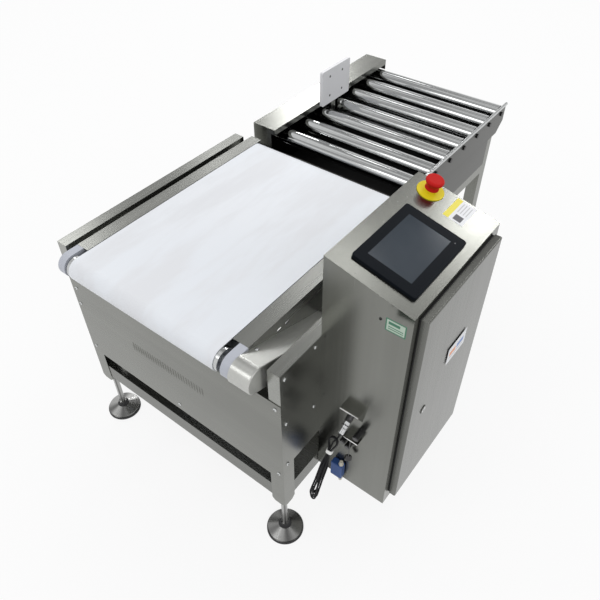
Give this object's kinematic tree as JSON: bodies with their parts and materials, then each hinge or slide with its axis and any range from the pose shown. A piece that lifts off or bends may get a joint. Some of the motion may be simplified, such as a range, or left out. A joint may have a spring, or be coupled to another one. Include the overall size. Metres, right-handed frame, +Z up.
{
  "type": "checkweigher",
  "caption": "Belt checkweigher in brushed stainless steel, with a roller reject table, a pusher paddle and a control cabinet with sloped operator panel.",
  "frame": {"origin": "on the floor, at the centre of the pad under the near infeed foot", "axes": "+X with the goods from infeed to outfeed, +Y away from the operator, +Z up"},
  "size_m": [1.379, 0.948, 0.9307],
  "materials": {
    "brushed_stainless": "brushed, fine straight grain",
    "polished_stainless": "polished",
    "bright_steel": "turned and plated",
    "aluminium": "satin anodised",
    "white_belt": "smooth polyurethane, satin",
    "white_plastic": "machined, matt",
    "black_rubber": "matt",
    "black_plastic": "fine grain",
    "screen": "gloss, screen dark",
    "red_plastic": "moulded",
    "yellow_plastic": "moulded",
    "blue_plastic": "moulded",
    "grey_plastic": "moulded",
    "black_screw": "black oxide",
    "cable_black": "satin jacket",
    "white_tie": "moulded"
  },
  "bodies": {
    "machine": {"weigh_legs": "brushed_stainless", "weigh_rails": "brushed_stainless", "infeed_panel": "brushed_stainless", "outfeed_panel": "brushed_stainless", "side_covers": "brushed_stainless", "side_walls": "brushed_stainless", "base_plate": "brushed_stainless", "load_cell": "aluminium", "weigh_bridge": "aluminium", "conveyor_side_rails": "brushed_stainless", "slider_bed": "brushed_stainless", "bearing_blocks": "white_plastic", "weigh_belt": "white_belt", "gearmotor": "aluminium", "timing_belt": "black_rubber", "belt_guard": "brushed_stainless", "table_stand": "brushed_stainless", "table_side_plates": "brushed_stainless", "slide_off_bar": "polished_stainless", "roller_housing": "brushed_stainless", "roller_bearings": "black_plastic", "roller_axles": "bright_steel", "axle_screws": "black_screw", "pusher_actuator": "aluminium", "cabinet_shell": "brushed_stainless", "door_gasket": "black_rubber", "cabinet_hinges": "bright_steel", "mounting_plate": "brushed_stainless", "control_devices": "grey_plastic", "screen_bezel": "black_plastic", "screen_glass": "screen", "stop_base": "yellow_plastic", "signal_sockets": "black_plastic", "lead_plug": "bright_steel", "signal_lead": "cable_black", "lead_hank": "cable_black", "lead_tie": "white_tie", "air_unit": "blue_plastic"},
    "drive_drum": {"drive_drum": "polished_stainless"},
    "tail_drum": {"tail_drum": "polished_stainless"},
    "motor_pulley": {"motor_pulley": "aluminium"},
    "pusher": {"pusher_carriage": "aluminium", "pusher_arm": "brushed_stainless", "pusher_paddle": "white_plastic"},
    "stop_button": {"stop_button": "red_plastic"},
    "cabinet_door": {"cabinet_door": "brushed_stainless"},
    "door_lock": {"door_lock": "bright_steel"},
    "roller_1": {"roller_1": "polished_stainless"},
    "roller_2": {"roller_2": "polished_stainless"},
    "roller_3": {"roller_3": "polished_stainless"},
    "roller_4": {"roller_4": "polished_stainless"},
    "roller_5": {"roller_5": "polished_stainless"},
    "roller_6": {"roller_6": "polished_stainless"},
    "roller_7": {"roller_7": "polished_stainless"},
    "foot_near_infeed": {"foot_near_infeed": "bright_steel"},
    "foot_far_infeed": {"foot_far_infeed": "bright_steel"},
    "foot_near_middle": {"foot_near_middle": "bright_steel"},
    "foot_far_middle": {"foot_far_middle": "bright_steel"},
    "foot_near_outfeed": {"foot_near_outfeed": "bright_steel"},
    "foot_far_outfeed": {"foot_far_outfeed": "bright_steel"}
  },
  "joints": [
    {"name": "drive_drum_spin", "type": "hinge", "parent": "machine", "child": "drive_drum", "pos_m": [-0.035, 0.35, 0.662], "axis": [0, 1, 0], "continuous": true},
    {"name": "tail_drum_spin", "type": "hinge", "parent": "machine", "child": "tail_drum", "pos_m": [0.612, 0.35, 0.662], "axis": [0, 1, 0], "continuous": true},
    {"name": "motor_pulley_spin", "type": "hinge", "parent": "machine", "child": "motor_pulley", "pos_m": [0.22469, 0.06, 0.57461], "axis": [0, 1, 0], "continuous": true},
    {"name": "roller_1_spin", "type": "hinge", "parent": "machine", "child": "roller_1", "pos_m": [0.746, 0.37, 0.665], "axis": [0, 1, 0], "continuous": true},
    {"name": "roller_2_spin", "type": "hinge", "parent": "machine", "child": "roller_2", "pos_m": [0.834, 0.37, 0.665], "axis": [0, 1, 0], "continuous": true},
    {"name": "roller_3_spin", "type": "hinge", "parent": "machine", "child": "roller_3", "pos_m": [0.922, 0.37, 0.665], "axis": [0, 1, 0], "continuous": true},
    {"name": "roller_4_spin", "type": "hinge", "parent": "machine", "child": "roller_4", "pos_m": [1.01, 0.37, 0.665], "axis": [0, 1, 0], "continuous": true},
    {"name": "roller_5_spin", "type": "hinge", "parent": "machine", "child": "roller_5", "pos_m": [1.098, 0.37, 0.665], "axis": [0, 1, 0], "continuous": true},
    {"name": "roller_6_spin", "type": "hinge", "parent": "machine", "child": "roller_6", "pos_m": [1.186, 0.37, 0.665], "axis": [0, 1, 0], "continuous": true},
    {"name": "roller_7_spin", "type": "hinge", "parent": "machine", "child": "roller_7", "pos_m": [1.274, 0.37, 0.665], "axis": [0, 1, 0], "continuous": true},
    {"name": "pusher_stroke", "type": "slide", "parent": "machine", "child": "pusher", "axis": [0, -1, 0], "range_m": [0, 0.4]},
    {"name": "stop_press", "type": "slide", "parent": "machine", "child": "stop_button", "axis": [0, 0.2408, -0.9706], "range_m": [0, 0.005], "stiffness_N_per_m": 800},
    {"name": "door_swing", "type": "hinge", "parent": "machine", "child": "cabinet_door", "pos_m": [0.453, -0.225, 0.535], "axis": [0, 0, 1], "range_deg": [0, 110]},
    {"name": "lock_turn", "type": "hinge", "parent": "cabinet_door", "child": "door_lock", "pos_m": [0.203, -0.23, 0.52], "axis": [0, -1, 0], "range_deg": [0, 90]},
    {"name": "near_infeed_foot_screw", "type": "slide", "parent": "machine", "child": "foot_near_infeed", "axis": [0, 0, 1], "range_m": [0, 0.03]},
    {"name": "far_infeed_foot_screw", "type": "slide", "parent": "machine", "child": "foot_far_infeed", "axis": [0, 0, 1], "range_m": [0, 0.03]},
    {"name": "near_middle_foot_screw", "type": "slide", "parent": "machine", "child": "foot_near_middle", "axis": [0, 0, 1], "range_m": [0, 0.03]},
    {"name": "far_middle_foot_screw", "type": "slide", "parent": "machine", "child": "foot_far_middle", "axis": [0, 0, 1], "range_m": [0, 0.03]},
    {"name": "near_outfeed_foot_screw", "type": "slide", "parent": "machine", "child": "foot_near_outfeed", "axis": [0, 0, 1], "range_m": [0, 0.03]},
    {"name": "far_outfeed_foot_screw", "type": "slide", "parent": "machine", "child": "foot_far_outfeed", "axis": [0, 0, 1], "range_m": [0, 0.03]}
  ],
  "couplings": [
    {"joint": "tail_drum_spin", "follows": "drive_drum_spin", "ratio": 1},
    {"joint": "motor_pulley_spin", "follows": "drive_drum_spin", "ratio": 1.5}
  ]
}
